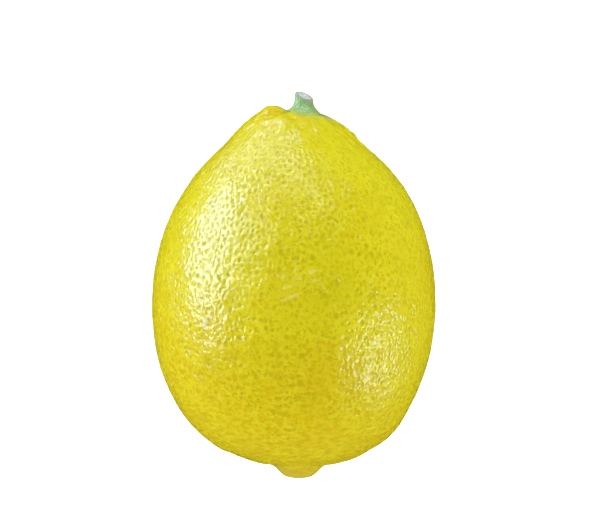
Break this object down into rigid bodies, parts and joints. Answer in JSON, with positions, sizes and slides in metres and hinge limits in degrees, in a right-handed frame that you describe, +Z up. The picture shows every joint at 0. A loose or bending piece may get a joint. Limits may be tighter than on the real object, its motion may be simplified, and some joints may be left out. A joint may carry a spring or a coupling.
{
  "type": "lemon",
  "caption": "Whole ripe lemon with a pitted yellow rind, a blunt nipple at the blossom end and a green cut stem button, lying on its side.",
  "frame": {"origin": "on the surface the lemon lies on, under the middle of its bounding box", "axes": "+Y along the fruit's long axis towards the stem, +Z up"},
  "size_m": [0.0598, 0.0817, 0.0596],
  "materials": {
    "rind": "waxy, finely pitted",
    "green_stem": "matte, woody"
  },
  "bodies": {
    "root": {"fruit": "rind", "stem_button": "green_stem"}
  },
  "joints": []
}
